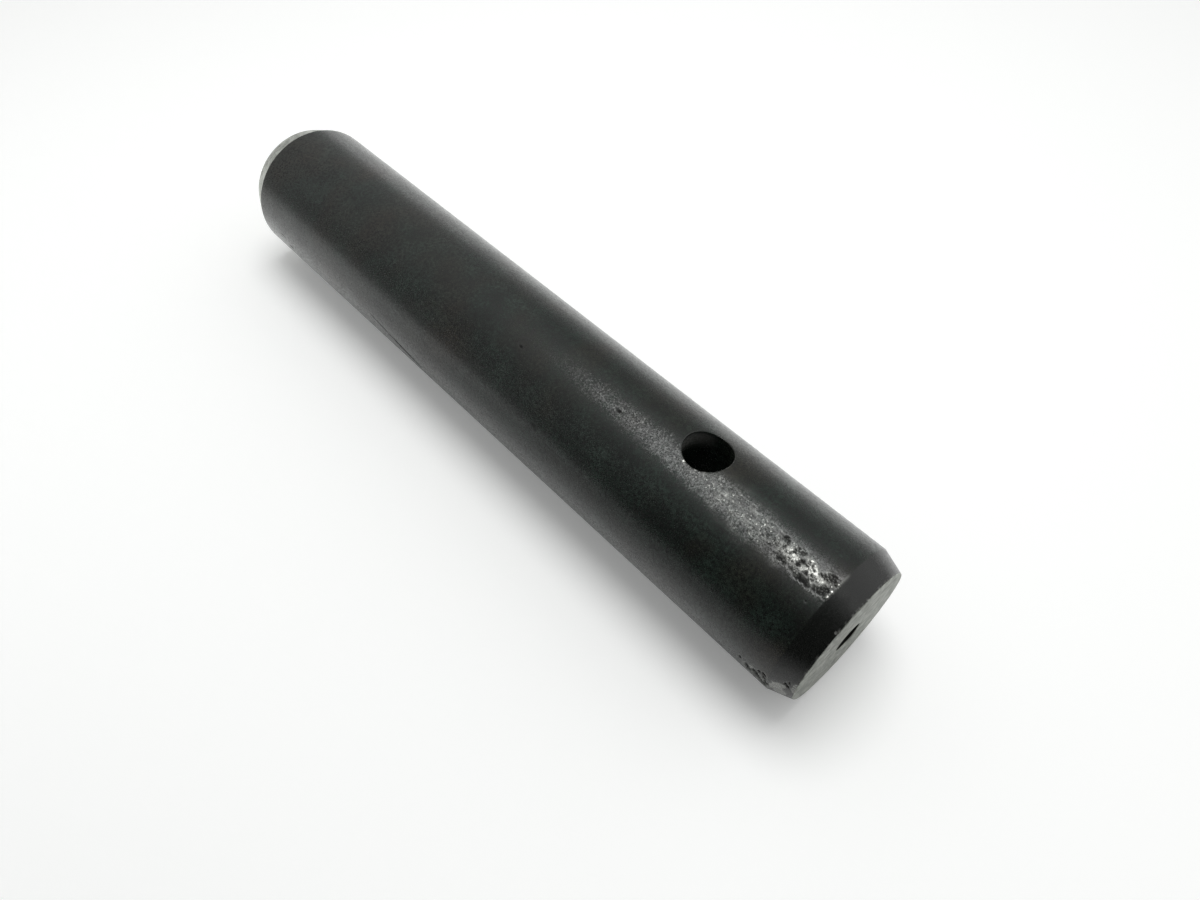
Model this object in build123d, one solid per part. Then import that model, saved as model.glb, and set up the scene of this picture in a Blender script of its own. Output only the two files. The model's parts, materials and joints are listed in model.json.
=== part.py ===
from build123d import *
import math
import os

# A kingpost pin: the turned steel pivot pin of a backhoe's slewing post.
# It is one round bar with a short lead-in taper at each end, a bolt hole across it
# near the top end, and a drilled hole in the middle of the top end face.
# It stands on its plain end. +Z runs up the pin and the origin is the centre of the
# face that it stands on. The bolt hole runs along Y and its front mouth faces -Y.
# All sizes are in millimetres.

# The bar
BODY_DIAMETER = 45.0
PIN_LENGTH = 244.0

# Lead-in tapers: the length along the pin and how far the radius comes in
TOP_LEAD_LENGTH = 6.5
TOP_LEAD_DROP = 2.4
FOOT_LEAD_LENGTH = 7.0
FOOT_LEAD_DROP = 3.0
SHOULDER_ROUND = 1.0
FACE_EDGE_ROUND = 0.3

# Bolt hole across the pin, with a broken edge where it comes out of the round side
BOLT_DIAMETER = 12.0
BOLT_PLAY = 1.5
BOLT_HOLE_FROM_TOP = 52.0
BOLT_HOLE_EDGE_BREAK = 0.5

# Hole in the middle of the top face, with the cone that the drill's tip leaves
CENTRE_HOLE_DIAMETER = 8.8
CENTRE_HOLE_DEPTH = 20.0
CENTRE_HOLE_EDGE_BREAK = 0.4
DRILL_TIP_ANGLE = 118.0

# How far a cutting tool starts outside the metal, so that no face is shared
TOOL_OVERRUN = 5.0

BODY_RADIUS = BODY_DIAMETER / 2
TOP_FACE_RADIUS = BODY_RADIUS - TOP_LEAD_DROP
FOOT_FACE_RADIUS = BODY_RADIUS - FOOT_LEAD_DROP
BOLT_HOLE_RADIUS = (BOLT_DIAMETER + BOLT_PLAY) / 2
BOLT_HOLE_HEIGHT = PIN_LENGTH - BOLT_HOLE_FROM_TOP
CENTRE_HOLE_RADIUS = CENTRE_HOLE_DIAMETER / 2


def rounded_corner(section, corner, radius):
    """The section with its corner nearest to the given point rounded."""
    nearest = section.vertices().sort_by_distance(corner)[0]
    return fillet(nearest, radius)


def turned_bar():
    """The bar as it leaves the lathe: half its section, corners rounded, turned about Z."""
    foot_edge = (FOOT_FACE_RADIUS, 0)
    foot_shoulder = (BODY_RADIUS, FOOT_LEAD_LENGTH)
    top_shoulder = (BODY_RADIUS, PIN_LENGTH - TOP_LEAD_LENGTH)
    top_edge = (TOP_FACE_RADIUS, PIN_LENGTH)
    outline = Polyline(
        (0, 0), foot_edge, foot_shoulder, top_shoulder, top_edge, (0, PIN_LENGTH), close=True
    )
    section = make_face(outline)
    for shoulder in (foot_shoulder, top_shoulder):
        section = rounded_corner(section, shoulder, SHOULDER_ROUND)
    for face_edge in (foot_edge, top_edge):
        section = rounded_corner(section, face_edge, FACE_EDGE_ROUND)
    return revolve(Plane.XZ * section, axis=Axis.Z)


def bolt_hole_drill():
    """A drill that goes right through the pin along Y."""
    length = BODY_DIAMETER + 2 * TOOL_OVERRUN
    return Pos(0, 0, BOLT_HOLE_HEIGHT) * Cylinder(BOLT_HOLE_RADIUS, length, rotation=(90, 0, 0))


def centre_hole_drill():
    """A drill with its pointed tip, and above it the cone that breaks the hole's edge."""
    tip_height = CENTRE_HOLE_RADIUS / math.tan(math.radians(DRILL_TIP_ANGLE / 2))
    mouth_radius = CENTRE_HOLE_RADIUS + CENTRE_HOLE_EDGE_BREAK
    floor = PIN_LENGTH - CENTRE_HOLE_DEPTH
    above = PIN_LENGTH + TOOL_OVERRUN
    half_section = Polyline(
        (0, floor - tip_height),
        (CENTRE_HOLE_RADIUS, floor),
        (CENTRE_HOLE_RADIUS, PIN_LENGTH - CENTRE_HOLE_EDGE_BREAK),
        (mouth_radius, PIN_LENGTH),
        (mouth_radius, above),
        (0, above),
        close=True,
    )
    return revolve(Plane.XZ * make_face(half_section), axis=Axis.Z)


def kingpost_pin():
    """The whole pin: bar, bolt hole with both mouths broken, centre hole."""
    bar = turned_bar()
    drill = bolt_hole_drill()
    drilled = bar - drill
    mouths = new_edges(bar, drill, combined=drilled).filter_by(GeomType.LINE, reverse=True)
    return chamfer(mouths, BOLT_HOLE_EDGE_BREAK) - centre_hole_drill()


os.makedirs("parts", exist_ok=True)
export_step(kingpost_pin(), "parts/kingpost_pin.step")
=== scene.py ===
# %% [markdown]
# This lesson dresses one steel kingpost pin: a turned bar, hardened and blackened, with a
# lead-in taper at each end, a bolt hole across it and a drilled hole in its top face.
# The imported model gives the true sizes. Every length here is in millimetres, and one scale
# turns the finished mesh into metres.

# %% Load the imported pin
import json
import math

import bpy
import numpy as np
from mathutils import Matrix, Vector, noise


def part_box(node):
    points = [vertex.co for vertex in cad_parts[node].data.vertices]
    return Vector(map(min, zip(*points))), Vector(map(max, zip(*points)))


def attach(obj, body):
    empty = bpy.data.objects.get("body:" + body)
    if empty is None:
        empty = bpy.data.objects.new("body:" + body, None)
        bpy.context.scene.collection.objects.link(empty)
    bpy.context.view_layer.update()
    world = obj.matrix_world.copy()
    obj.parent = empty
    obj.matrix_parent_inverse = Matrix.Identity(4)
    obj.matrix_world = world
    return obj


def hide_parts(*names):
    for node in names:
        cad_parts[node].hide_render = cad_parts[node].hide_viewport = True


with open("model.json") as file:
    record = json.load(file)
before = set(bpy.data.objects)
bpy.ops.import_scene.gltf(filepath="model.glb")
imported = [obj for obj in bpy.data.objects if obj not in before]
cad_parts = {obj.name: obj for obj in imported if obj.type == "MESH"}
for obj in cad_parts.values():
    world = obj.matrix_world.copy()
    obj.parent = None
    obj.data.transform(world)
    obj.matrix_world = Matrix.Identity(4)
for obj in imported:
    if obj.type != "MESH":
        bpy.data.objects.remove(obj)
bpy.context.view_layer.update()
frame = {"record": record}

MM = 0.001
NODE = "kingpost_pin"

# %% [markdown]
# The record names the places where other parts fit the pin, each with its size. Taking the
# radii from there means that the dressed pin always fits the same bushes and bolt.

# %% Read the pin's sizes from its mounts


def mount(name):
    """The record's entry for one mount."""
    return next(m for m in frame["record"]["mounts"] if m["name"] == name)


low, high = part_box(NODE)
PIN_LENGTH = (high.z - low.z) / MM
BODY_RADIUS = mount("pin_body")["dims"]["r_mm"]
BOLT_HOLE_RADIUS = mount("bolt_hole")["dims"]["r_mm"]
BOLT_HOLE_HEIGHT = mount("bolt_hole")["pos_m"][2] / MM
CENTRE_HOLE_RADIUS = mount("centre_hole")["dims"]["r_mm"]
print("pin", BODY_RADIUS * 2, "by", round(PIN_LENGTH, 2), "mm, bolt hole at", BOLT_HOLE_HEIGHT)

# %% [markdown]
# A camera in the hand looked down at the pin on a white table from about a quarter of a metre.
# Here the pin stands on its end, so the camera turns with it: it keeps its place against the
# pin, and "up" for it is the way that points out of the table. The table touches the pin's
# side, and its direction is given by one angle about the pin, measured from the bolt hole.

# %% Set the camera and the table's direction
TABLE_UP_AZIMUTH = 8.47
CAMERA_PLACE = (129.67, -177.11, 264.66)
CAMERA_AIM = (-9.05, 21.4, 149.62)
CAMERA_LENS = 25.52
CAMERA_SENSOR = 36.0
CAMERA_NEAREST = 10.0


def around(azimuth, radius=1.0, height=0.0):
    """The point at an azimuth in degrees: 0 is the bolt hole's mouth at -Y, 90 is +X."""
    angle = math.radians(azimuth)
    return Vector((radius * math.sin(angle), -radius * math.cos(angle), height))


def facing(place, aim, up):
    """A placement in metres that looks from place to aim and keeps up upright in the picture."""
    back = (Vector(place) - Vector(aim)).normalized()
    right = Vector(up).cross(back).normalized()
    turn = Matrix((right, back.cross(right), back)).transposed().to_4x4()
    return Matrix.Translation(Vector(place) * MM) @ turn


table_up = around(TABLE_UP_AZIMUTH)
camera_data = bpy.data.cameras.new("camera")
camera_data.lens = CAMERA_LENS
camera_data.sensor_width = CAMERA_SENSOR
camera_data.clip_start = CAMERA_NEAREST * MM
camera = bpy.data.objects.new("camera", camera_data)
camera.matrix_world = facing(CAMERA_PLACE, CAMERA_AIM, table_up)
bpy.context.scene.collection.objects.link(camera)
bpy.context.scene.camera = camera
print("camera looks against", [round(v, 3) for v in camera.matrix_world.col[2][:3]])

# %% [markdown]
# The pin came off a lathe, so its mesh is made as a lathe makes it: an outline of radius and
# height is turned about the axis. The outline could be a curve with a screw modifier, but the
# rough patch near the top needs much smaller faces than the plain far end, and a list of
# points gives each stretch its own step. The tapers aren't mounts, so their sizes are repeated
# here. The shoulders and the centre hole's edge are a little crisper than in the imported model,
# as they are in the photo.

# %% Give the tapers, the corners and the centre hole their sizes
TOP_LEAD_LENGTH, TOP_LEAD_DROP = 6.5, 2.4
FOOT_LEAD_LENGTH, FOOT_LEAD_DROP = 7.0, 3.0
SHOULDER_ROUND = 0.9
FACE_EDGE_ROUND = 0.3
CENTRE_HOLE_EDGE_BREAK = 0.15
CENTRE_HOLE_DEPTH = 20.0
DRILL_TIP_ANGLE = 118.0
DRILL_TIP_SLOPE = 1 / math.tan(math.radians(DRILL_TIP_ANGLE / 2))
SHOULDER = PIN_LENGTH - TOP_LEAD_LENGTH
SMALLEST_RING = 0.6
print("top shoulder at", SHOULDER, "foot shoulder at", FOOT_LEAD_LENGTH)


def corner_arc(before, corner, after, radius, steps):
    """Points of the arc that rounds one corner of the outline."""
    before, corner, after = Vector(before), Vector(corner), Vector(after)
    way_in, way_out = (corner - before).normalized(), (after - corner).normalized()
    turn = way_in.angle(way_out)
    start = corner - way_in * radius * math.tan(turn / 2)
    inward = (way_out - way_in * way_in.dot(way_out)).normalized()
    points = []
    for k in range(steps + 1):
        angle = turn * k / steps
        points.append(start + way_in * radius * math.sin(angle) + inward * radius * (1 - math.cos(angle)))
    return [tuple(p) for p in points]


def run_to(outline, end, step):
    """Adds points about a step apart, from where the outline is to the end point."""
    start = outline[-1]
    count = max(1, round(math.dist(start, end) / step))
    for k in range(1, count + 1):
        outline.append(tuple(a + (b - a) * k / count for a, b in zip(start, end)))


# %% [markdown]
# Each stretch has its own step: fine at the scratch, the bolt hole and the rough end, and coarse
# on the plain body and inside the centre hole.

# %% Draw the outline that the lathe cuts
FACE_STEP = 1.5
TAPER_STEP = 0.6
PLAIN_STEP = 1.8
SCRATCH_SPAN, SCRATCH_STEP = (83.0, 100.0), 0.7
WINDOW_HALF_HEIGHT, HOLE_STEP = 10.0, 0.4
ROUGH_STEP = 0.28
EDGE_STEP = 0.3
TOP_FACE_STEP = 1.2
BORE_STEP = 1.6
FOOT_EDGE_BAND, TOP_EDGE_BAND = 1.0, 0.6
FOOT_EDGE_ARC, ARC = 3, 4


def turned_outline():
    """The outline as (radius, height) pairs, from the foot face's middle to the drill's tip."""
    foot_edge = (BODY_RADIUS - FOOT_LEAD_DROP, 0.0)
    foot_shoulder = (BODY_RADIUS, FOOT_LEAD_LENGTH)
    top_shoulder = (BODY_RADIUS, SHOULDER)
    top_edge = (BODY_RADIUS - TOP_LEAD_DROP, PIN_LENGTH)
    outline = [(SMALLEST_RING, 0.0)]
    run_to(outline, (foot_edge[0] - FOOT_EDGE_BAND, 0.0), FACE_STEP)
    outline += corner_arc(outline[-1], foot_edge, foot_shoulder, FACE_EDGE_ROUND, FOOT_EDGE_ARC)
    arc = corner_arc(foot_edge, foot_shoulder, top_shoulder, SHOULDER_ROUND, ARC)
    run_to(outline, arc[0], TAPER_STEP)
    outline += arc[1:]
    run_to(outline, (BODY_RADIUS, SCRATCH_SPAN[0]), PLAIN_STEP)
    run_to(outline, (BODY_RADIUS, SCRATCH_SPAN[1]), SCRATCH_STEP)
    run_to(outline, (BODY_RADIUS, BOLT_HOLE_HEIGHT - WINDOW_HALF_HEIGHT), PLAIN_STEP)
    run_to(outline, (BODY_RADIUS, BOLT_HOLE_HEIGHT + WINDOW_HALF_HEIGHT), HOLE_STEP)
    arc = corner_arc(foot_shoulder, top_shoulder, top_edge, SHOULDER_ROUND, ARC)
    run_to(outline, arc[0], ROUGH_STEP)
    outline += arc[1:]
    arc = corner_arc(top_shoulder, top_edge, (CENTRE_HOLE_RADIUS, PIN_LENGTH), FACE_EDGE_ROUND, ARC)
    run_to(outline, arc[0], ROUGH_STEP)
    outline += arc[1:]
    run_to(outline, (arc[-1][0] - TOP_EDGE_BAND, PIN_LENGTH), EDGE_STEP)
    run_to(outline, (CENTRE_HOLE_RADIUS + CENTRE_HOLE_EDGE_BREAK, PIN_LENGTH), TOP_FACE_STEP)
    run_to(outline, (CENTRE_HOLE_RADIUS, PIN_LENGTH - CENTRE_HOLE_EDGE_BREAK), EDGE_STEP)
    drill_floor = PIN_LENGTH - CENTRE_HOLE_DEPTH
    run_to(outline, (CENTRE_HOLE_RADIUS, drill_floor), BORE_STEP)
    tip_drop = (CENTRE_HOLE_RADIUS - SMALLEST_RING) * DRILL_TIP_SLOPE
    run_to(outline, (SMALLEST_RING, drill_floor - tip_drop), FACE_STEP)
    return outline


outline = turned_outline()
print("outline points", len(outline))

# %% [markdown]
# The columns round the pin are close together where the photo shows detail: about the bolt
# hole, over the rough patch beside it, and at the chipped spot low on the side. A column falls
# on each edge of the bolt hole's two windows, which the next step leaves open.

# %% Space the columns round the pin
WINDOW_HALF_AZIMUTH = 24.0
COLUMN_ZONES = (
    # where the zone ends, step
    (51.0, 0.6),
    (84.0, 3.0),
    (117.0, 1.1),
    (360.0 - WINDOW_HALF_AZIMUTH, 3.0),
)


def column_azimuths():
    """Azimuths in degrees, from one side of the bolt hole's mouth right round the pin."""
    azimuths = [-WINDOW_HALF_AZIMUTH]
    for end, step in COLUMN_ZONES:
        start = azimuths[-1]
        count = round((end - start) / step)
        azimuths += [start + (end - start) * k / count for k in range(1, count + 1)]
    return azimuths[:-1]


azimuths = column_azimuths()
print("columns", len(azimuths))

# %% [markdown]
# A boolean would cut the bolt hole quickly, but it leaves long thin faces that shade badly on
# a glossy bar. So the turned skin gets a window on each side instead, and the next steps lead
# rings of points from the window's frame to the hole's rim.

# %% Turn the outline and leave two windows open
WINDOW_MARGIN = 0.01


def in_window(row, column, margin):
    """Whether a point of the turned skin lies in a window that is grown by a margin."""
    radius, up = outline[row]
    across = (azimuths[column] + 90) % 180 - 90
    on_body = radius > BODY_RADIUS - WINDOW_MARGIN
    near_hole = abs(up - BOLT_HOLE_HEIGHT) < WINDOW_HALF_HEIGHT + margin
    return on_body and near_hole and abs(across) < WINDOW_HALF_AZIMUTH + margin


def turned_skin():
    """Points and faces of the turned skin, and the points that frame the window of each side."""
    points = [tuple(around(azimuth, radius, up)) for radius, up in outline for azimuth in azimuths]
    columns = len(azimuths)
    rows = [list(range(r * columns, (r + 1) * columns)) for r in range(len(outline))]
    faces, frames = [], {-1: set(), 1: set()}
    for r in range(len(rows) - 1):
        for c in range(columns):
            after = (c + 1) % columns
            corners = ((r, c), (r, after), (r + 1, after), (r + 1, c))
            if all(in_window(*corner, WINDOW_MARGIN) for corner in corners):
                edge = [corner for corner in corners if not in_window(*corner, -WINDOW_MARGIN)]
                side = 1 if points[rows[r][c]][1] > 0 else -1
                frames[side].update(rows[row][column] for row, column in edge)
            else:
                faces.append(tuple(rows[row][column] for row, column in corners))
    for row, middle in ((rows[0], 0.0), (rows[-1], outline[-1][1] - SMALLEST_RING * DRILL_TIP_SLOPE)):
        points.append((0.0, 0.0, middle))
        faces += [(row[c], row[(c + 1) % columns], len(points) - 1) for c in range(columns)]
    return points, faces, frames


points, faces, frames = turned_skin()
print("turned points", len(points), "frame points", [len(f) for f in frames.values()])

# %% [markdown]
# Every ring round a mouth follows the bar's curve, so that the skin stays perfectly round, and
# the rim is a small quarter arc that is saddle-shaped like the real broken edge. The two
# halves of the wall meet in the middle of the bar.

# %% Draw the rings of the bolt hole
HOLE_SPOKES = 160
RIM_ROUND = 0.28
RIM_STEPS = 4
SKIN_RINGS = (8.5, 8.05, 7.65, 7.3)
WALL_RINGS = 14


def hole_ring(side, reach, depth):
    """A ring round the bolt hole: reach from the hole's axis, depth below the pin's skin."""
    ring = []
    for k in range(HOLE_SPOKES):
        angle = 2 * math.pi * k / HOLE_SPOKES
        x = reach * math.sin(angle)
        y = math.sqrt(BODY_RADIUS**2 - x * x) - depth
        ring.append((x, side * y, BOLT_HOLE_HEIGHT + reach * math.cos(angle)))
    return ring


def mouth_rings(side):
    """All rings of one half, from the skin round the mouth to just before the middle."""
    rings = [hole_ring(side, reach, 0.0) for reach in SKIN_RINGS]
    for k in range(RIM_STEPS + 1):
        bend = math.pi / 2 * k / RIM_STEPS
        reach = BOLT_HOLE_RADIUS + RIM_ROUND * (1 - math.sin(bend))
        rings.append(hole_ring(side, reach, RIM_ROUND * (1 - math.cos(bend))))
    rim = rings[-1]
    for k in range(1, WALL_RINGS):
        shrink = 1 - k / WALL_RINGS
        rings.append([(x, y * shrink, z) for x, y, z in rim])
    return rings


print("rings in each half", len(mouth_rings(1)))

# %% [markdown]
# The window's frame is a rectangle and the first ring is a circle, with different numbers of
# points. They are zipped together: at each step the side whose next point comes first in the
# turn about the hole moves on, and leaves one triangle behind.

# %% Join the window frames to the rings


def turn_about_hole(point):
    """The angle of a point about the bolt hole's axis, from 0 to a full turn."""
    return math.atan2(point[0], point[2] - BOLT_HOLE_HEIGHT) % (2 * math.pi)


def zip_rings(outer, inner):
    """Triangles between two closed rings that have different numbers of points."""
    outer = sorted(outer, key=lambda i: turn_about_hole(points[i]))
    inner = sorted(inner, key=lambda i: turn_about_hole(points[i]))
    outer_turn = [turn_about_hole(points[i]) for i in outer] + [2 * math.pi]
    inner_turn = [turn_about_hole(points[i]) for i in inner] + [2 * math.pi]
    triangles, i, j = [], 0, 0
    while i < len(outer) or j < len(inner):
        here, there = outer[i % len(outer)], inner[j % len(inner)]
        if j == len(inner) or (i < len(outer) and outer_turn[i + 1] <= inner_turn[j + 1]):
            triangles.append((here, outer[(i + 1) % len(outer)], there))
            i += 1
        else:
            triangles.append((here, inner[(j + 1) % len(inner)], there))
            j += 1
    return triangles


def ring_faces(first, second):
    """Four-sided faces between two rings with the same number of points."""
    count = len(first)
    turns = [(k, (k + 1) % count) for k in range(count)]
    return [(first[a], first[b], second[b], second[a]) for a, b in turns]


def add_ring(ring):
    """Adds a ring to the points and gives the places of its points in the list."""
    start = len(points)
    points.extend(ring)
    return list(range(start, start + len(ring)))


middle = add_ring([(x, 0.0, z) for x, _, z in hole_ring(1, BOLT_HOLE_RADIUS, 0.0)])
walls = set(middle)
for side in (-1, 1):
    rings = [add_ring(ring) for ring in mouth_rings(side)]
    walls.update(i for ring in rings[len(SKIN_RINGS) :] for i in ring)
    faces += zip_rings(frames[side], rings[0])
    for first, second in zip(rings, rings[1:] + [middle]):
        faces += ring_faces(first, second)
print("points", len(points), "faces", len(faces))

# %% [markdown]
# Nothing in a workshop stays perfect. Beside the bolt hole the photo shows a sparkling strip
# that grows into a rough patch at the top shoulder, with burrs along the shoulder itself. Low on
# the side there are chips, and the top taper is scuffed bright. Marks that a hand would feel are
# pressed into the mesh here, one dent at a time. A displacement texture could do it too, but
# dents can be put where they belong and get steep walls. Three numbers are kept at each point
# for the finish to read: how rough the skin is, how dark its hollows are, partly from oxide and
# partly as painted shade, and how bare.

# %% Measure every point on the skin
SKIN_MARGIN = 0.05
FOOT_MARGIN = 0.3
OFF_SKIN = 9.0
RAGGED_SIZE = 0.9
LUMPY_SIZE = 3.0
WAVE_SIZE = 9.0
WAVE_DEPTH = 0.012
STRIP_START = 130.0
MARKED_AZIMUTHS = (-5.0, 122.0)
FOOT_WORN_TO = 40.0
TOP_WORN_FROM = 236.0

place = np.array(points)
azimuth = np.degrees(np.arctan2(place[:, 0], -place[:, 1]))
height = place[:, 2]
reach = np.hypot(place[:, 0], place[:, 1])
outward = place * (1, 1, 0) / np.maximum(reach, 1e-6)[:, None]
on_side = (height > FOOT_MARGIN) & (height < PIN_LENGTH - SKIN_MARGIN)
on_side &= reach > BODY_RADIUS - FOOT_LEAD_DROP - SKIN_MARGIN
on_side[list(walls)] = False


def smooth_step(value, start, end):
    """0 before start, 1 after end, and a smooth rise between."""
    t = np.clip((np.asarray(value, float) - start) / (end - start), 0, 1)
    return t * t * (3 - 2 * t)


def up_the_pin(first, *changes):
    """A value that changes up the pin: each change has a start, an end and a size."""
    return first + sum(size * smooth_step(height, start, end) for start, end, size in changes)


def unevenness(size, only):
    """Smooth noise with blobs of a size in millimetres, at the chosen points, and 0 elsewhere."""
    values = np.zeros(len(place))
    for i in np.flatnonzero(only):
        values[i] = noise.noise(Vector(place[i]) / size)
    return values


def offset_from(spot_azimuth, spot_height, radius, stretch=1.0):
    """Distance of every point on the skin from a spot, where 1 is the spot's edge."""
    across = np.radians((azimuth - spot_azimuth + 180) % 360 - 180) * BODY_RADIUS
    along = (height - spot_height) / stretch
    return np.where(on_side, np.hypot(across, along) / radius, OFF_SKIN)


worn_end = on_side & (height > STRIP_START)
worn_end &= (azimuth > MARKED_AZIMUTHS[0]) & (azimuth < MARKED_AZIMUTHS[1])
worn_edges = on_side & ((height < FOOT_WORN_TO) | (height > TOP_WORN_FROM))
ragged = unevenness(RAGGED_SIZE, worn_end | worn_edges)
lumpy = unevenness(LUMPY_SIZE, worn_end)
sink = WAVE_DEPTH * (1 + unevenness(WAVE_SIZE, on_side)) * on_side
print("points on the skin", int(on_side.sum()), "in the worn part", int(worn_end.sum()))

# %% [markdown]
# On the real pin the strip is scale that has been rubbed. It starts as a faint shimmer half way
# up the bar, passes close beside the bolt hole and widens towards the shoulder, where its core
# turns to rubble. Its edges are laid out first, as values that change up the pin, and lumpy
# noise frays them. A painted mask could do the same, but these numbers can be moved one by one.

# %% Lay out the strip beside the bolt hole
STRIP_MIDDLE = (17.0, (182.0, 212.0, 2.0), (208.0, 220.0, 2.0))
STRIP_HALF_WIDTH = (8.5, (182.0, 212.0, 2.0), (212.0, 222.0, -2.5))
STRIP_ROUGHNESS = (0.0, (135.0, 165.0, 0.25), (180.0, 204.0, 0.30), (208.0, 226.0, 0.15))
STRIP_FRAY = 0.5
STRIP_EDGE = (0.2, 1.5)
PAST_SHOULDER = 0.3
SMOOTH_SIDE = (0.0, (210.0, 222.0, -0.75))
SMOOTH_SIDE_EDGE = (9.0, 15.0)
CORE_AZIMUTH = 20.8
CORE_HALF_WIDTH = 9.5
CORE_FRAY = 0.4
CORE_EDGE = (0.5, 1.1)
CORE_RISE = (200.0, 228.0)

off_middle = np.abs(azimuth - up_the_pin(*STRIP_MIDDLE)) / up_the_pin(*STRIP_HALF_WIDTH)
off_middle += STRIP_FRAY * lumpy
in_strip = (1 - smooth_step(off_middle, *STRIP_EDGE)) * (height < SHOULDER + PAST_SHOULDER) * on_side
beside_core = 1 + up_the_pin(*SMOOTH_SIDE) * (1 - smooth_step(azimuth, *SMOOTH_SIDE_EDGE))
roughened = in_strip * beside_core * up_the_pin(*STRIP_ROUGHNESS)
off_core = np.abs(azimuth - CORE_AZIMUTH) / CORE_HALF_WIDTH + CORE_FRAY * lumpy
core = in_strip * (1 - smooth_step(off_core, *CORE_EDGE)) * smooth_step(height, *CORE_RISE)
print("rough points", int((roughened > 0.1).sum()), "in the core", int((core > 0.5).sum()))

# %% [markdown]
# The core is a rubble of bright lumps with black crevices between them. Round pits cut from
# smooth noise looked like bubbles, so folded noise draws the crevices, and a few listed pockets
# open them where the photo shows dark spots. Noise that is stretched along the pin
# draws the fine streaks of the strip. Vector noise, which warps the folds, takes its seed from
# the clock unless one is set, so a seed keeps the rubble the same in every run.

# %% Open crevices and pockets in the rubble
POCKETS = (
    # azimuth, height, radius
    (27.6, 229.8, 1.4),
    (27.7, 231.7, 1.2),
    (26.3, 234.5, 1.2),
    (24.3, 236.0, 1.2),
    (21.4, 228.4, 1.4),
    (23.6, 229.6, 1.1),
    (18.5, 233.9, 1.0),
    (15.5, 235.6, 1.3),
    (14.2, 226.3, 1.0),
    (14.3, 221.8, 0.9),
    (16.7, 224.6, 0.8),
    (21.8, 219.1, 0.7),
    (27.2, 224.0, 1.2),
)
POCKET_STRETCH = 1.4
POCKET_EDGE = (0.4, 1.2)
POCKET_SHARE = 0.23
LUMP = 1.1
LUMP_STRETCH = 2.2
WARP, WARP_SIZE, WARP_SEED = 0.5, 0.8, 1
STREAK_WIDTH, STREAK_LENGTH = 0.45, 5.0
CREVICE_EDGE = (0.11, 0.21)
CREVICE_DEPTH = 0.24
CREST_EDGE = (0.24, 0.50)
CREST_SHARE = 0.3
DARK_EDGE, DARKNESS = (0.15, 0.8), 0.8

pocket = np.zeros(len(place))
for spot_azimuth, spot_height, radius in POCKETS:
    off = offset_from(spot_azimuth, spot_height, radius, POCKET_STRETCH)
    pocket = np.maximum(pocket, 1 - smooth_step(off, *POCKET_EDGE))
core = np.maximum(core, pocket)
folds, streaks = np.ones(len(place)), np.zeros(len(place))
noise.seed_set(WARP_SEED)
for i in np.flatnonzero(in_strip * (height > CORE_RISE[0]) > 0.01):
    here = Vector(place[i])
    x, y, z = (here + WARP * noise.noise_vector(here / WARP_SIZE)) / LUMP
    lump = Vector((x, y, z / LUMP_STRETCH))
    folds[i] = noise.turbulence(lump, 3, True, amplitude_scale=0.5, frequency_scale=2.3)
    streak = Vector((here.x / STREAK_WIDTH, here.y / STREAK_WIDTH, here.z / STREAK_LENGTH))
    streaks[i] = noise.noise(streak)
folds -= POCKET_SHARE * pocket
crevices = core * (1 - smooth_step(folds, *CREVICE_EDGE))
crests = core * smooth_step(folds, *CREST_EDGE)
sink += CREVICE_DEPTH * (crevices - CREST_SHARE * crests)
# Crevices are painted dark: partly the crust's dark oxide, partly painted shade.
pits_and_shade = DARKNESS * smooth_step(crevices, *DARK_EDGE)
# The centre hole's bore is painted black all through: partly its dark inside, partly painted shade in the
# deep hole.
pits_and_shade[(reach < CENTRE_HOLE_RADIUS + SKIN_MARGIN) & (height > PIN_LENGTH / 2)] = 1.0
print("pockets", len(POCKETS), "dark points", int((pits_and_shade > 0.5).sum()))

# %% [markdown]
# Rubbing takes the skin off what stands proud. So the crests are bare, most of all along one
# ridge where the photo is brightest, the strip is a little bare in streaks, and a faint halo
# lies round it. Dull spots and the last few millimetres before the shoulder keep their skin.

# %% Rub the strip and its crests bare
STRIP_BARE, HALO_BARE = 0.13, 0.04
HALO_EDGE = (0.3, 2.3)
STREAK_EDGE = (-0.25, 0.35)
STREAK_RISE = (188.0, 206.0)
BETWEEN_STREAKS = 0.4
CREST_BARE, RIDGE_CREST_BARE, RIDGE_BARE = 0.05, 0.60, 0.35
RIDGE_AZIMUTH, RIDGE_HALF_WIDTH = 18.8, 4.2
RIDGE_RISE = (219.0, 230.0)
RIDGE_FALL = (1.0, (232.5, 236.5, -0.75))
DULL_SPOTS, DULL_SPOT_EDGE = 0.7, (0.05, 0.45)
BARE_FALL = (1.0, (233.5, 236.8, -0.75))
CREVICE_COVER = 0.8

halo = (1 - smooth_step(off_middle, *HALO_EDGE)) * on_side * (height < SHOULDER)
bare = (STRIP_BARE * in_strip + HALO_BARE * halo) * smooth_step(height, *STREAK_RISE)
bare *= (BETWEEN_STREAKS + smooth_step(streaks, *STREAK_EDGE)) * beside_core
ridge = np.exp(-(((azimuth - RIDGE_AZIMUTH) / RIDGE_HALF_WIDTH) ** 2))
ridge *= smooth_step(height, *RIDGE_RISE) * up_the_pin(*RIDGE_FALL)
bare += crests * (CREST_BARE * in_strip + RIDGE_CREST_BARE * ridge) + RIDGE_BARE * ridge * (1 - crevices)
bare *= (1 - DULL_SPOTS * smooth_step(lumpy, *DULL_SPOT_EDGE)) * up_the_pin(*BARE_FALL)
bare *= 1 - CREVICE_COVER * crevices
print("bare points in the strip", int((bare > 0.3).sum()))

# %% [markdown]
# Chips come from knocks. Each one is a hollow with a ragged edge and a thin raised lip that has
# lost its dark skin, and where hollows overlap there is no lip between them. A scratch is a
# hollow drawn out along a line. The marks on the side that the photo hides are guesses, and are
# kept few and shallow.

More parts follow.
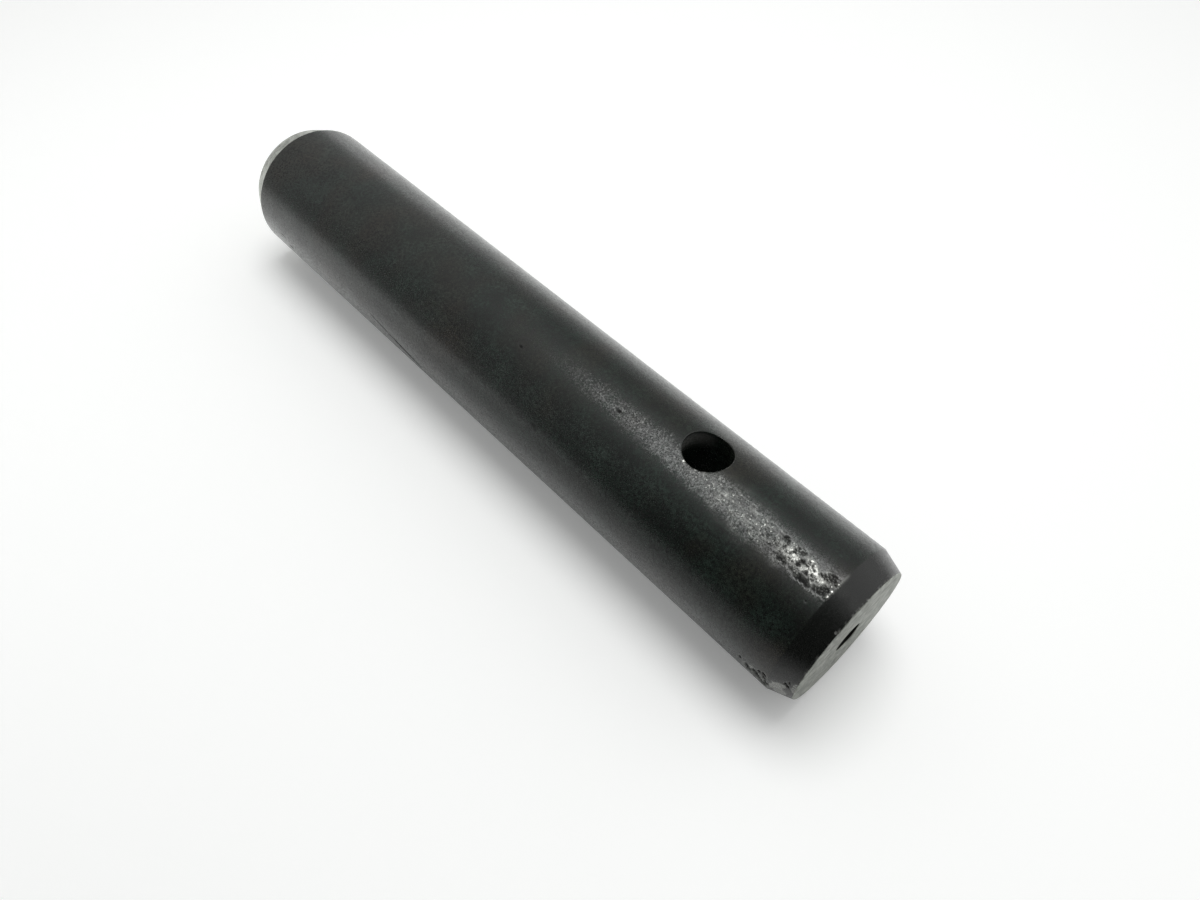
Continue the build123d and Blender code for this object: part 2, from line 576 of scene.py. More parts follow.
# %% Press chips into the skin
CHIPS = (
    # azimuth, height, radius, depth
    (101.5, 229.3, 0.6, 0.15),
    (103.5, 231.4, 0.8, 0.60),
    (107.6, 231.9, 1.4, 0.70),
    (103.0, 233.5, 1.2, 0.80),
    (112.0, 233.6, 0.9, 0.70),
    (98.4, 234.8, 0.6, 0.45),
    (106.2, 235.0, 1.7, 0.85),
    (110.6, 236.4, 1.3, 0.80),
    (96.6, 236.3, 0.8, 0.40),
    (105.8, 237.3, 0.8, 0.60),
    (101.0, 236.6, 0.9, 0.45),
    (93.5, 241.3, 0.55, 0.35),
    (90.4, 242.0, 0.50, 0.30),
    (95.6, 242.0, 0.45, 0.30),
    (35.8, 234.3, 0.4, 0.12),
    (11.9, 163.3, 0.4, 0.06),
    (15.1, 166.2, 0.45, 0.08),
    (19.5, 167.9, 0.7, 0.05),
    (60.7, 124.0, 0.8, 0.06),
    (28.2, 131.9, 0.7, 0.05),
    (67.5, 150.5, 0.9, 0.06),
    (98.2, 20.3, 0.8, 0.10),
    (105.2, 22.9, 0.9, 0.12),
    (107.2, 28.3, 0.8, 0.12),
    (-46.0, 15.0, 0.9, 0.10),
    (205.0, 180.0, 1.1, 0.08),
    (262.0, 96.0, 1.3, 0.09),
    (171.0, 60.0, 1.0, 0.08),
    (300.0, 210.0, 1.2, 0.08),
)
CHIP_RAGGED = 0.7
CHIP_EDGE = (0.35, 1.0)
CHIP_DARK_EDGE = (0.25, 0.9)
LIP_PLACE, LIP_WIDTH = 1.15, 0.25
LIP_SHARE = 0.2
LIP_BARE = 0.5

for spot_azimuth, spot_height, radius, depth in CHIPS:
    off = offset_from(spot_azimuth, spot_height, radius) + CHIP_RAGGED * ragged
    hollow = 1 - smooth_step(off, *CHIP_EDGE)
    sink = np.maximum(sink, depth * hollow)
    # The hollow is painted dark: partly dark oxide, partly painted shade.
    pits_and_shade = np.maximum(pits_and_shade, smooth_step(hollow, *CHIP_DARK_EDGE))
    lip = np.exp(-(((off - LIP_PLACE) / LIP_WIDTH) ** 2)) * (1 - pits_and_shade)
    sink -= LIP_SHARE * depth * lip
    bare = np.maximum(bare * (1 - hollow), LIP_BARE * depth * lip)
print("chips and dents", len(CHIPS), "deepest", round(float(sink.max()), 2), "mm")

# %% Draw the scratch near the far end
SCRATCHES = (
    # azimuth and height of both ends, half width, depth
    (101.8, 85.7, 108.2, 97.8, 0.30, 0.12),
    (96.0, 73.0, 101.8, 85.7, 0.26, 0.06),
)
GROOVE_EDGE = (0.6, 1.8)
GROOVE_DARKNESS = 8.0

for first_azimuth, first_height, last_azimuth, last_height, half_width, depth in SCRATCHES:
    run = np.clip((height - first_height) / (last_height - first_height), 0, 1)
    line_azimuth = first_azimuth + run * (last_azimuth - first_azimuth)
    line_height = first_height + run * (last_height - first_height)
    groove = 1 - smooth_step(offset_from(line_azimuth, line_height, half_width), *GROOVE_EDGE)
    sink = np.maximum(sink, depth * groove)
    # The groove is painted dark, partly as painted shade.
    pits_and_shade = np.maximum(pits_and_shade, GROOVE_DARKNESS * depth * groove)
print("pieces of the scratch", len(SCRATCHES))

# %% [markdown]
# Edges wear first. The shoulder carries three bright burrs and a thin bright line, and the
# tapers are scuffed to the metal in patches. A scuff is flat: it takes off the dark skin and a
# few hundredths of a millimetre of steel.

# %% Raise burrs on the shoulder and scuff the tapers
BURRS = (
    # azimuth, radius
    (26.4, 0.48),
    (22.4, 0.55),
    (16.4, 0.32),
)
BURR_HEIGHT = 0.18
BURR_BELOW_SHOULDER = 0.2
BURR_EDGE = (0.2, 1.0)
SCUFFS = (
    # azimuth, height, radius, depth, stretch along the pin, how bare
    (104.0, 239.7, 3.0, 0.05, 0.6, 0.55),
    (112.0, 240.8, 3.0, 0.05, 0.6, 0.55),
    (98.5, 240.9, 1.2, 0.05, 0.8, 0.45),
    (91.8, 243.4, 1.3, 0.05, 0.45, 0.40),
    (97.5, 243.4, 1.6, 0.05, 0.45, 0.40),
    (38.9, 243.45, 0.45, 0.12, 0.7, 0.5),
    (36.9, 243.75, 0.40, 0.12, 0.7, 0.5),
    (140.0, 243.4, 1.4, 0.10, 0.8, 0.35),
    (230.0, 243.5, 1.1, 0.10, 0.7, 0.35),
    (310.0, 243.5, 0.9, 0.10, 0.7, 0.35),
    (255.0, 238.4, 1.4, 0.05, 0.8, 0.25),
)
SCUFF_RAGGED = 0.35
SCUFF_EDGE = (0.8, 1.0)
LINE_BARE, LINE_WIDTH = 0.25, 0.3
LINE_START, LINE_END = (5.0, 10.0), (20.0, 26.0)

for burr_azimuth, radius in BURRS:
    off = offset_from(burr_azimuth, SHOULDER - BURR_BELOW_SHOULDER, radius)
    bump = 1 - smooth_step(off, *BURR_EDGE)
    sink -= BURR_HEIGHT * bump
    bare = np.maximum(bare, bump)
    pits_and_shade *= 1 - bump
    roughened *= 1 - bump
for spot_azimuth, spot_height, radius, depth, stretch, bareness in SCUFFS:
    off = offset_from(spot_azimuth, spot_height, radius, stretch) + SCUFF_RAGGED * ragged
    inside = 1 - smooth_step(off, *SCUFF_EDGE)
    sink += inside * depth
    bare = np.maximum(bare, inside * bareness * (1 - pits_and_shade))
on_line = np.exp(-(((height - SHOULDER) / LINE_WIDTH) ** 2)) * on_side
on_line *= smooth_step(azimuth, *LINE_START) * (1 - smooth_step(azimuth, *LINE_END))
bare = np.maximum(bare, LINE_BARE * on_line)
print("burrs", len(BURRS), "scuffs", len(SCUFFS))

# %% [markdown]
# The lower wall of the bolt hole, just inside its mouth, is made bare and brighter as painted
# light, where light reaches into the hole. Two bright nicks sit on the hole's rim, and the edge of
# the top face has lost its skin in short lengths. No steel is moved for these: they only change
# how bare a point is.

# %% Paint light into the bolt hole and wear its rim and the edge of the top face
WALL_PAINTED_LIGHT = 0.45
WALL_RISE, WALL_FALL = (0.6, 2.0), (2.0, 6.0)
WALL_SIDE = (1.0, 6.0)
RIM_SPOTS = (
    # across the pin, height, radius, how bare
    (6.8, 190.0, 0.42, 0.8),
    (6.5, 193.7, 0.5, 1.0),
    (6.8, 191.8, 0.35, 0.3),
    (5.7, 195.8, 0.6, 0.35),
)
RIM_STRETCH = 1.3
RIM_SPOT_EDGE = (0.4, 1.0)
RIM_DEPTH = 0.6
EDGE_BARE = 0.35
EDGE_BAND = (0.6, 0.25)
EDGE_GAPS = (0.0, 0.4)

in_bolt_hole = np.zeros(len(place), bool)
in_bolt_hole[list(walls)] = True
depth_in_hole = np.sqrt(np.maximum(BODY_RADIUS**2 - place[:, 0] ** 2, 0)) - np.abs(place[:, 1])
# Painted light on the hole's lower wall near the mouth, made as bare steel.
wall_painted_light = smooth_step(depth_in_hole, *WALL_RISE) * (1 - smooth_step(depth_in_hole, *WALL_FALL))
wall_painted_light *= smooth_step(BOLT_HOLE_HEIGHT - height, *WALL_SIDE)
bare = np.where(in_bolt_hole, WALL_PAINTED_LIGHT * wall_painted_light, bare)
for x, z, radius, bareness in RIM_SPOTS:
    off = np.hypot(place[:, 0] - x, (height - z) / RIM_STRETCH) / radius
    on_rim = (place[:, 1] < 0) * (depth_in_hole < RIM_DEPTH)
    bare = np.maximum(bare, bareness * (1 - smooth_step(off, *RIM_SPOT_EDGE)) * on_rim)
edge_wear = smooth_step(height, PIN_LENGTH - EDGE_BAND[0], PIN_LENGTH - EDGE_BAND[1])
edge_wear *= smooth_step(ragged, *EDGE_GAPS)
bare = np.maximum(bare, EDGE_BARE * edge_wear * on_side)
moved = place - outward * sink[:, None]
print("bare points", int((bare > 0.3).sum()))

# %% [markdown]
# The lists become one mesh, scaled to metres. Each face also gets its finish here: dark skin
# all over, and bare turned steel on both end faces and on the far taper. Points that no face
# uses, inside the two windows, are left out.

# %% Make the mesh and hand it the two finishes
DARK, BARE = 0, 1
TOP_FACE_SKIN = 0.16
FOOT_FINISH_MARGIN = 0.02
EDGE_BREAK_BAND = 1.0


def finish_of(middle):
    """Which finish a face gets, from its middle."""
    from_axis = math.hypot(middle[0], middle[1])
    on_foot = middle[2] < FOOT_LEAD_LENGTH - FOOT_FINISH_MARGIN
    on_top = middle[2] > PIN_LENGTH - TOP_FACE_SKIN and from_axis > CENTRE_HOLE_RADIUS + SKIN_MARGIN
    on_break = middle[2] > PIN_LENGTH - CENTRE_HOLE_EDGE_BREAK
    on_break = on_break and from_axis < CENTRE_HOLE_RADIUS + EDGE_BREAK_BAND
    return BARE if on_foot or on_top or on_break else DARK


used = np.zeros(len(points), bool)
used[[i for face in faces for i in face]] = True
new_index = np.cumsum(used) - 1
faces = [tuple(int(new_index[i]) for i in face) for face in faces]
moved = moved[used]
mesh = bpy.data.meshes.new("pin_skin")
mesh.from_pydata((moved * MM).tolist(), [], faces)
mesh.polygons.foreach_set("material_index", [finish_of(moved[list(face)].mean(axis=0)) for face in faces])
for name, values in (("roughened", roughened), ("pits_and_shade", pits_and_shade), ("bare", bare)):
    mesh.attributes.new(name, "FLOAT", "POINT").data.foreach_set("value", values[used])
mesh.validate()
pin = bpy.data.objects.new("kingpost_pin_skin", mesh)
bpy.context.scene.collection.objects.link(pin)
print("pin triangles", sum(len(p.vertices) - 2 for p in mesh.polygons))

# %% [markdown]
# The zipped triangles and the turned faces don't all face the same way, so Blender turns them
# outwards.

bpy.context.view_layer.objects.active = pin
pin.select_set(True)
bpy.ops.object.mode_set(mode="EDIT")
bpy.ops.mesh.select_all(action="SELECT")
bpy.ops.mesh.normals_make_consistent(inside=False)
bpy.ops.object.mode_set(mode="OBJECT")
mesh.shade_smooth()
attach(pin, "root")
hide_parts(NODE)
print(pin.name, "stands in for", NODE)

# %% [markdown]
# One helper turns sRGB colours, as people write them, into the linear ones that shaders take.
# Another adds a node with its settings and its links, and every finish below is made with it.
# The others start a material, turn a place into millimetres, and lay colours over one another.

# %% Helpers for colours and nodes
NOISE_SPAN, NOISE_MIDDLE = (0.3, 0.7), (0.35, 0.65)
SMOOTH = {"interpolation_type": "SMOOTHSTEP"}


def linear(hex_colour):
    """An sRGB hex colour as a linear one."""
    channels = [int(hex_colour[k : k + 2], 16) / 255 for k in (1, 3, 5)]
    return [c / 12.92 if c <= 0.04045 else ((c + 0.055) / 1.055) ** 2.4 for c in channels] + [1.0]


def add(tree, kind, inputs=(), **settings):
    """Adds a node, sets it up, gives each input a value or a link, and gives its outputs."""
    node = tree.nodes.new("ShaderNode" + kind)
    for name, value in settings.items():
        setattr(node, name, value)
    for key, value in inputs.items() if isinstance(inputs, dict) else enumerate(inputs):
        if isinstance(value, bpy.types.NodeSocket):
            tree.links.new(value, node.inputs[key])
        else:
            node.inputs[key].default_value = value
    return node.outputs


def new_material(name):
    """An empty node material, and its tree."""
    material = bpy.data.materials.new(name)
    material.use_nodes = True
    material.node_tree.nodes.clear()
    return material, material.node_tree


def in_millimetres(tree, place):
    """A place in millimetres."""
    return add(tree, "VectorMath", {0: place, "Scale": 1 / MM}, operation="SCALE")[0]


def layered(tree, first, layers):
    """A first colour with others laid over it, each by its own amount."""
    colour = linear(first)
    for amount, tone in layers:
        colour = add(tree, "Mix", {0: amount, 6: colour, 7: linear(tone)}, data_type="RGBA")[2]
    return colour


print("mid grey in linear", round(linear("#808080")[0], 3))

# %% [markdown]
# The body is medium-carbon steel, hardened and left with its dark oil-quench skin: iron oxide
# soaked with oil. It mirrors as little as an oiled stone does, almost black face on and bright
# only at a flat angle. A plain black paint would look dead, so the colour drifts between
# greenish black and brown, and small dark freckles break it up. The top taper is painted a shade
# blacker, as painted shade for the dark room it mirrors. Pits are blackest, partly dark oxide and
# partly painted shade, and where the skin is rubbed off the colour is worn metal.

# %% The colours of the quench skin
SKIN_DARK = "#19201c"
SKIN_LIGHT = "#2a352f"
SKIN_BROWN = "#302a23"
TAPER_SHADE_BLACK = "#121412"
PIT_SHADE_BLACK = "#060605"
WORN_STEEL = "#b4b5b0"
FRECKLE_DARK = "#060706"
MOTTLE = 7.0
STAIN, STAIN_SPAN, STAIN_SHARE = 19.0, (0.45, 0.7), 0.7
FRECKLE, FRECKLE_SHARE = 0.85, 0.9
TAPER_BLEND = 0.2


def skin_patterns(tree, place):
    """Two noises over the skin: broad mottles, and freckles of under a millimetre."""
    mottle = {"Vector": place, "Scale": 1 / MOTTLE, "Detail": 4.0, "Roughness": 0.6}
    freckle = {"Vector": place, "Scale": 1 / FRECKLE, "Detail": 2.0, "Roughness": 0.7}
    freckle = add(tree, "TexNoise", freckle)[0]
    freckle = add(tree, "MapRange", (freckle, *NOISE_MIDDLE, 0.0, FRECKLE_SHARE))[0]
    return add(tree, "TexNoise", mottle)[0], freckle


def skin_colour(tree, place, mottle, freckle, shaded_pits, bare):
    """Greenish black and brown, then freckles, painted shade on taper and hollows, and worn metal on top.
    """
    stain = add(tree, "TexNoise", {"Vector": place, "Scale": 1 / STAIN, "Detail": 2.0})[0]
    brown = add(tree, "MapRange", (stain, *STAIN_SPAN, 0.0, STAIN_SHARE))[0]
    light = add(tree, "MapRange", (mottle, *NOISE_MIDDLE))[0]
    up = add(tree, "SeparateXYZ", (place,))[2]
    # The top taper is painted blacker, as painted shade for the dark room it mirrors.
    taper = add(tree, "MapRange", (up, SHOULDER - TAPER_BLEND, SHOULDER + TAPER_BLEND))[0]
    layers = ((light, SKIN_LIGHT), (brown, SKIN_BROWN), (freckle, FRECKLE_DARK), (taper, TAPER_SHADE_BLACK))
    return layered(tree, SKIN_DARK, layers + ((shaded_pits, PIT_SHADE_BLACK), (bare, WORN_STEEL)))


print("mottles", MOTTLE, "mm, freckles", FRECKLE, "mm")

# %% [markdown]
# The oxide is a crust of crystals. They are drawn as small cells that each lean their own way,
# which breaks the lamp's reflection into sparkles, where a noise bump would give a soft grain.
# Real ones are finer than a tenth of a millimetre, and the cells are drawn coarser so that they
# show. On rough skin they lean more, and a few are rubbed bright.

# %% Blackened steel
GRAIN, GRAIN_TILT, ROUGH_TILT = 0.34, 0.05, 0.50
SPARKLE, SPARKLE_SPAN = 0.7, (0.88, 0.96)
RELIEF, RELIEF_DEPTH = 0.45, 0.10
DULL_SKIN, SMOOTH_SKIN = 0.22, 0.16
ROUGH_DULLING, FRECKLE_DULLING, PIT_DULLING = 0.12, 0.15, 0.8


def skin_roughness(tree, mottle, rough, freckle, shaded_pits):
    """Glossy on smooth skin, duller on crystals and freckles, and matt in pits."""
    dull = add(tree, "MapRange", (mottle, *NOISE_SPAN, DULL_SKIN, SMOOTH_SKIN))[0]
    for amount, more in ((rough, ROUGH_DULLING), (freckle, FRECKLE_DULLING), (shaded_pits, PIT_DULLING)):
        dull = add(tree, "Math", (amount, more, dull), operation="MULTIPLY_ADD")[0]
    return dull


def skin_facing(tree, place, crystal, rough):
    """The way the skin faces: fine relief where it is rough, and each crystal's own lean."""
    lean = add(tree, "VectorMath", (crystal, (0.5, 0.5, 0.5)), operation="SUBTRACT")[0]
    tilt = add(tree, "MapRange", {0: rough, 3: GRAIN_TILT, 4: ROUGH_TILT})[0]
    lean = add(tree, "VectorMath", {0: lean, "Scale": tilt}, operation="SCALE")[0]
    relief = {"Vector": place, "Scale": 1 / RELIEF, "Detail": 3.0, "Roughness": 0.6}
    relief = add(tree, "TexNoise", relief)[0]
    relief = add(tree, "Math", (relief, rough), operation="MULTIPLY")[0]
    bump = add(tree, "Bump", {"Height": relief, "Distance": RELIEF_DEPTH * MM})[0]
    way = add(tree, "VectorMath", (bump, lean), operation="ADD")[0]
    return add(tree, "VectorMath", (way,), operation="NORMALIZE")[0]


def blackened_steel():
    """Hardened steel with a dark quench skin, its hollows darkened partly with painted shade, and rubbed
    where the mesh says so.
    """
    material, tree = new_material("blackened_hardened_steel")
    place = in_millimetres(tree, add(tree, "TexCoord")["Object"])
    names = ("roughened", "pits_and_shade", "bare")
    rough, shaded_pits, bare = (add(tree, "Attribute", attribute_name=name)["Fac"] for name in names)
    crystal = add(tree, "TexVoronoi", {"Vector": place, "Scale": 1 / GRAIN})["Color"]
    chosen = add(tree, "SeparateXYZ", (crystal,))[1]
    sparkle = add(tree, "MapRange", (chosen, *SPARKLE_SPAN, 0.0, SPARKLE))[0]
    bare = add(tree, "Math", (sparkle, rough, bare), operation="MULTIPLY_ADD", use_clamp=True)[0]
    mottle, freckle = skin_patterns(tree, place)
    looks = {
        "Base Color": skin_colour(tree, place, mottle, freckle, shaded_pits, bare),
        "Metallic": bare,
        "Roughness": skin_roughness(tree, mottle, rough, freckle, shaded_pits),
        "Normal": skin_facing(tree, place, crystal, rough),
    }
    add(tree, "OutputMaterial", {"Surface": add(tree, "BsdfPrincipled", looks)[0]})
    return material


mesh.materials.append(blackened_steel())
print("finish", mesh.materials[DARK].name)

# %% [markdown]
# The end faces and the far taper were cut after the bar was hardened, so they are bare. The
# tool leaves fine rings, one for each turn of the lathe, and handling leaves a dull grey with
# small dark stains. The rings are a sine of radius and height, so no picture is mapped on.

# %% Bare turned steel
BARE_LIGHT = "#b1b4ac"
BARE_DULL = "#80837b"
FEED, FEED_DEPTH = 0.22, 0.004
TARNISH = 2.6
SPECK, SPECK_DEPTH, SPECK_SPAN, SPECK_SHARE = 0.7, 0.01, (0.52, 0.68), 0.7
STEEL_ROUGHNESS = (0.34, 0.48)


def feed_rings(tree, place):
    """The rings that a lathe tool leaves as it moves across a face or along a taper."""
    x, y, up = add(tree, "SeparateXYZ", (place,))
    across = add(tree, "CombineXYZ", (x, y))[0]
    radius = add(tree, "VectorMath", (across,), operation="LENGTH")["Value"]
    travel = add(tree, "Math", (radius, up), operation="ADD")[0]
    travel = add(tree, "Math", (travel, 2 * math.pi / FEED), operation="MULTIPLY")[0]
    return add(tree, "Math", (travel,), operation="SINE")[0]


def turned_steel():
    """Steel straight from the lathe, dulled by handling."""
    material, tree = new_material("turned_bare_steel")
    place = in_millimetres(tree, add(tree, "TexCoord")["Object"])
    tarnish = {"Vector": place, "Scale": 1 / TARNISH, "Detail": 5.0, "Roughness": 0.7}
    tarnish = add(tree, "TexNoise", tarnish)[0]
    specks = {"Vector": place, "Scale": 1 / SPECK, "Detail": 3.0, "Roughness": 0.75}
    specks = add(tree, "TexNoise", specks)[0]
    dull = add(tree, "MapRange", (tarnish, *NOISE_MIDDLE), **SMOOTH)[0]
    dark = add(tree, "MapRange", (specks, *SPECK_SPAN, 0.0, SPECK_SHARE))[0]
    rings = {"Height": feed_rings(tree, place), "Distance": FEED_DEPTH * MM}
    bump = {"Height": specks, "Distance": SPECK_DEPTH * MM, "Normal": add(tree, "Bump", rings)[0]}
    looks = {
        "Base Color": layered(tree, BARE_LIGHT, ((dull, BARE_DULL), (dark, SKIN_DARK))),
        "Metallic": 1.0,
        "Roughness": add(tree, "MapRange", (tarnish, *NOISE_SPAN, *STEEL_ROUGHNESS))[0],
        "Normal": add(tree, "Bump", bump)[0],
    }
    add(tree, "OutputMaterial", {"Surface": add(tree, "BsdfPrincipled", looks)[0]})
    return material


mesh.materials.append(turned_steel())
print("finish", mesh.materials[BARE].name)

# %% [markdown]
# The table is plain white. Part of its white is a faint glow that only cameras and mirrors see,
# so that it reads as white without more light on the pin, while the pin's soft shadow still
# shows. For mirrors the glow is painted light, in place of light bounced from the room: the dark
# skin mirrors it as a bright rim, stronger on the high side and at the foot than low down by the
# top end. Mirrors also see painted shade on the table past the top end and far out on the low
# side. Each of these is a ramp over the table, so each can be set on its own.

# %% How mirrors see the table
HIGH_SIDE = around(TABLE_UP_AZIMUTH - 90.0)
TABLE_LIGHT_WAY = HIGH_SIDE + Vector((0, 0, 0.15))
HIGH_GLOW, HIGH_RISE = 0.51, (-30.0, 100.0)
LOW_GLOW, LOW_FALL = (0.42, 0.0), (-60.0, 100.0)
UNDER_PIN_GLOW, UNDER_PIN, UNDER_PIN_END = 0.10, (-70.0, -35.0), (225.0, 205.0)
END_GLOW, PAST_END, END_WIDTH = 0.07, (232.0, 250.0), (80.0, 40.0)
FAR_END, FAR_END_WHITE = (205.0, 360.0), (1.0, 0.5)
CORNER_SHADE, CORNER_ASIDE, CORNER_UP = 0.40, (-60.0, -100.0), (30.0, 190.0)


def mirrored_glow(tree, place, up, aside):
    """How strongly each place on the table glows for mirrors, as painted light."""
    low = add(tree, "MapRange", (up, *LOW_FALL, *LOW_GLOW), **SMOOTH)[0]
    near_pin = add(tree, "MapRange", (aside, *UNDER_PIN, 0.0, UNDER_PIN_GLOW))[0]
    before_end = add(tree, "MapRange", (up, *UNDER_PIN_END))[0]
    low = add(tree, "Math", (near_pin, before_end, low), operation="MULTIPLY_ADD")[0]
    across = add(tree, "VectorMath", (place, TABLE_LIGHT_WAY), operation="DOT_PRODUCT")["Value"]
    glow = add(tree, "MapRange", (across, *HIGH_RISE, low, HIGH_GLOW), **SMOOTH)[0]
    past_end = add(tree, "MapRange", (up, *PAST_END))[0]
    before_face = add(tree, "MapRange", (aside, *END_WIDTH))[0]
    past_end = add(tree, "Math", (past_end, before_face), operation="MULTIPLY")[0]
    return add(tree, "Mix", {0: past_end, 2: glow, 3: END_GLOW})[0]


def mirrored_shade(tree, up, aside):
    """How much of the table's white mirrors see, with painted shade past the top end and far out."""
    white = add(tree, "MapRange", (up, *FAR_END, *FAR_END_WHITE))[0]
    far_low = add(tree, "MapRange", (aside, *CORNER_ASIDE))[0]
    corner = add(tree, "MapRange", (up, *CORNER_UP, 0.0, -CORNER_SHADE))[0]
    return add(tree, "Math", (far_low, corner, white), operation="MULTIPLY_ADD")[0]


print("table glow for mirrors: high side", HIGH_GLOW, "low side", LOW_GLOW)

# %% [markdown]
# The table is a flat sheet that touches the pin's side. Seen from behind it is clear, so that it
# hides nothing when the pin is looked at from the other side.

# %% White table
TABLE_SIZE = (3000.0, 3000.0)
TABLE_GAP = 0.02
TABLE_WHITE = "#f4f5f4"
TABLE_GLOW = 0.22


def ray_kinds(tree):
    """Whether a ray comes from the camera, and whether from a mirror or through glass."""
    rays = add(tree, "LightPath")
    mirrored = (rays["Is Glossy Ray"], rays["Is Transmission Ray"])
    return rays["Is Camera Ray"], add(tree, "Math", mirrored, operation="MAXIMUM")[0]


def white_table():
    """A matt white top that glows a little and is clear from behind."""
    material, tree = new_material("matt_white_table")
    seen, mirrored = ray_kinds(tree)
    place = in_millimetres(tree, add(tree, "NewGeometry")["Position"])
    up = add(tree, "SeparateXYZ", (place,))[2]
    aside = add(tree, "VectorMath", (place, HIGH_SIDE), operation="DOT_PRODUCT")["Value"]
    glow = (mirrored, mirrored_glow(tree, place, up, aside))
    glow = add(tree, "Math", glow, operation="MULTIPLY")[0]
    glow = add(tree, "Math", (seen, TABLE_GLOW, glow), operation="MULTIPLY_ADD")[0]
    shade = add(tree, "Mix", {0: mirrored, 2: 1.0, 3: mirrored_shade(tree, up, aside)})[0]
    white = {0: linear(TABLE_WHITE)[:3], "Scale": shade}
    paint = add(tree, "BsdfDiffuse", (add(tree, "VectorMath", white, operation="SCALE")[0],))[0]
    glow = add(tree, "Emission", {"Color": linear(TABLE_WHITE), "Strength": glow})[0]
    front = add(tree, "AddShader", (paint, glow))[0]
    behind = add(tree, "NewGeometry")["Backfacing"]
    surface = (behind, front, add(tree, "BsdfTransparent")[0])
    add(tree, "OutputMaterial", {"Surface": add(tree, "MixShader", surface)[0]})
    return material


def flat_sheet(name, size, placement, material):
    """A flat stage piece with its size in millimetres."""
    x, y = size[0] / 2 * MM, size[1] / 2 * MM
    sheet_mesh = bpy.data.meshes.new(name)
    sheet_mesh.from_pydata([(-x, -y, 0), (x, -y, 0), (x, y, 0), (-x, y, 0)], [], [(0, 1, 2, 3)])
    sheet_mesh.materials.append(material)
    sheet = bpy.data.objects.new(name, sheet_mesh)
    sheet.matrix_world = placement
    bpy.context.scene.collection.objects.link(sheet)
    return sheet


touch = around(TABLE_UP_AZIMUTH, -(BODY_RADIUS + TABLE_GAP), PIN_LENGTH / 2)
lying = facing(touch, touch - table_up, (0, 0, 1))
table = flat_sheet("table", TABLE_SIZE, lying, white_table())
print("table faces", [round(v, 3) for v in table.matrix_world.col[2][:3]])

# %% [markdown]
# One wide soft lamp hangs over the pin and makes the sparkling strip and the soft shadow. A
# small lamp would draw a hard line along the bar instead.

# %% Lamp
LAMP_DISTANCE = 800.0
LAMP_SIZE = 500.0
LAMP_TO_FOOT = 7.5
LAMP_TO_SIDE = 7.6
LAMP_POWER = 3.3

lamp_way = around(TABLE_UP_AZIMUTH - LAMP_TO_SIDE) * math.cos(math.radians(LAMP_TO_FOOT))
lamp_way.z = -math.sin(math.radians(LAMP_TO_FOOT))
lamp_data = bpy.data.lights.new("ceiling_lamp", "AREA")
lamp_data.shape = "DISK"
lamp_data.size = LAMP_SIZE * MM
lamp_data.energy = LAMP_POWER
lamp = bpy.data.objects.new("ceiling_lamp", lamp_data)
under_lamp = Vector((0, 0, BOLT_HOLE_HEIGHT))
lamp.matrix_world = facing(under_lamp + lamp_way * LAMP_DISTANCE, under_lamp, (0, 0, 1))
bpy.context.scene.collection.objects.link(lamp)
print("lamp", LAMP_POWER, "W at", LAMP_DISTANCE, "mm")

# %% [markdown]
# On the low side stands a grey card that darkens towards the top end and gives the skin a dark
# band to mirror; that darkening is painted shade, and its lighter lower edge painted light. Like
# the flags of a studio it stays out of the picture: no camera sees it and it casts no shadow.

# %% Grey card on the low side
CARD_SIZE = (640.0, 260.0)
CARD_ASIDE, CARD_HEIGHT, CARD_LIFT = 210.0, 110.0, 15.0
CARD_LEAN = -13.0
CARD_LIGHT = "#acacac"
CARD_DARK = "#383838"
CARD_FADE, CARD_RISE = (-110.0, 60.0), (-150.0, -80.0)


def card_paper():
    """Matt grey paper, its darkening along the card painted shade and its lighter lower edge painted
    light.
    """
    material, tree = new_material("matt_grey_card")
    place = in_millimetres(tree, add(tree, "TexCoord")["Object"])
    along, rise, _ = add(tree, "SeparateXYZ", (place,))
    fade = add(tree, "MapRange", (along, *CARD_FADE), **SMOOTH)[0]
    lift = add(tree, "MapRange", (rise, *CARD_RISE), **SMOOTH)[0]
    dark = add(tree, "Math", (fade, lift), operation="MULTIPLY")[0]
    paper = add(tree, "BsdfDiffuse", (layered(tree, CARD_LIGHT, ((dark, CARD_DARK),)),))
    add(tree, "OutputMaterial", {"Surface": paper[0]})
    return material


low_side = around(TABLE_UP_AZIMUTH + 90.0)
card_middle = low_side * CARD_ASIDE + Vector((0, 0, CARD_HEIGHT))
card_middle += table_up * (CARD_LIFT - BODY_RADIUS + CARD_SIZE[1] / 2)
lean = Matrix.Rotation(math.radians(CARD_LEAN), 4, "Z")
standing = facing(card_middle, card_middle - low_side, table_up) @ lean
card = flat_sheet("grey_card", CARD_SIZE, standing, card_paper())
card.visible_camera = False
card.visible_shadow = False
print("grey card", CARD_SIZE, "mm,", CARD_ASIDE, "mm from the pin's axis")

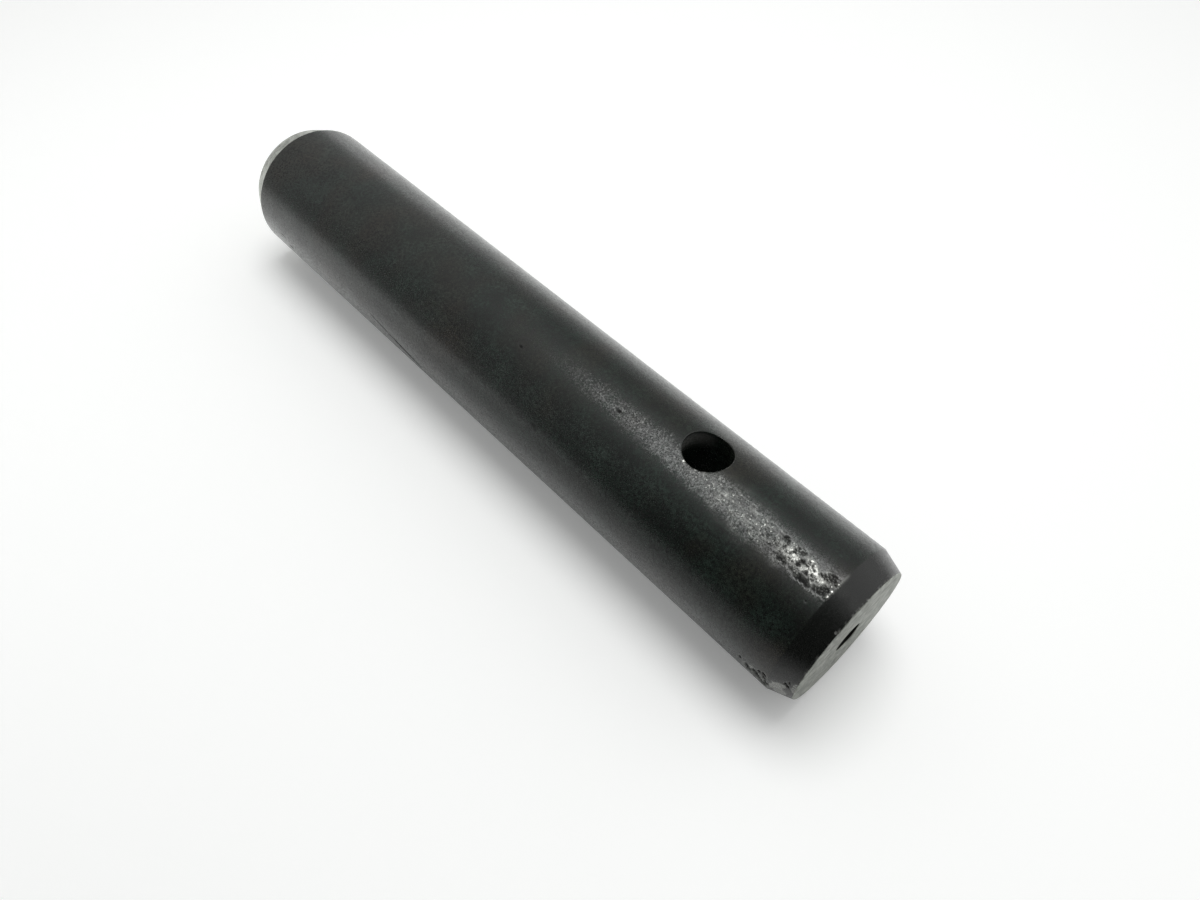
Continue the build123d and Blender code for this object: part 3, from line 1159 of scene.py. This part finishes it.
# %% [markdown]
# The room is dim beyond the top end and grows lighter towards the foot and the high side, so
# that the dark skin is not one flat tone. Two soft windows lighten the high side of the body,
# and a dark doorway keeps the skin beside the bolt hole dark. Cameras see white in place of the
# room, and so does a mirror that looks past the table's edge.

# %% Room
ROOM_LIGHT_WAY = HIGH_SIDE - Vector((0, 0, 0.6))
ROOM_SPAN, ROOM_LIGHT = (-0.85, 0.2), (0.045, 0.55)
WINDOWS = (
    # way to the high side, to the lamp and to the top end; where it starts, is full; its light
    (1.0, 1.0, 1.0, 0.70, 0.95, 0.4),
    (0.64, -0.05, -0.75, 0.95, 0.99, 0.8),
    (0.78, 0.50, -0.38, 0.95, 0.985, -0.24),
)
WHITE = linear("#ffffff")


def room_level(tree, way):
    """How bright the room is each way."""
    light = add(tree, "VectorMath", (way, ROOM_LIGHT_WAY), operation="DOT_PRODUCT")["Value"]
    level = add(tree, "MapRange", (light, *ROOM_SPAN, *ROOM_LIGHT), **SMOOTH)[0]
    for aside, out, along, start, full, light in WINDOWS:
        middle = (HIGH_SIDE * aside + table_up * out + Vector((0, 0, along))).normalized()
        near = add(tree, "VectorMath", (way, middle), operation="DOT_PRODUCT")["Value"]
        window = add(tree, "MapRange", (near, start, full, 0.0, light), **SMOOTH)[0]
        level = add(tree, "Math", (level, window), operation="ADD")[0]
    return level


world = bpy.data.worlds.new("room")
bpy.context.scene.world = world
world.use_nodes = True
tree = world.node_tree
tree.nodes.clear()
way = add(tree, "TexCoord")["Generated"]
rise = add(tree, "VectorMath", (way, table_up), operation="DOT_PRODUCT")["Value"]
below = add(tree, "Math", (rise, 0.0), operation="LESS_THAN")[0]
seen, mirrored = ray_kinds(tree)
past_table = add(tree, "Math", (mirrored, below), operation="MULTIPLY")[0]
white_seen = add(tree, "Math", (seen, past_table), operation="MAXIMUM")[0]
room = add(tree, "Background", (WHITE, room_level(tree, way)))[0]
white = add(tree, "Background", (WHITE, 1.0))[0]
add(tree, "OutputWorld", {"Surface": add(tree, "MixShader", (white_seen, room, white))[0]})
bpy.context.scene.view_settings.view_transform = "Standard"
print("room light", ROOM_LIGHT, "and", len(WINDOWS), "windows and doorways")
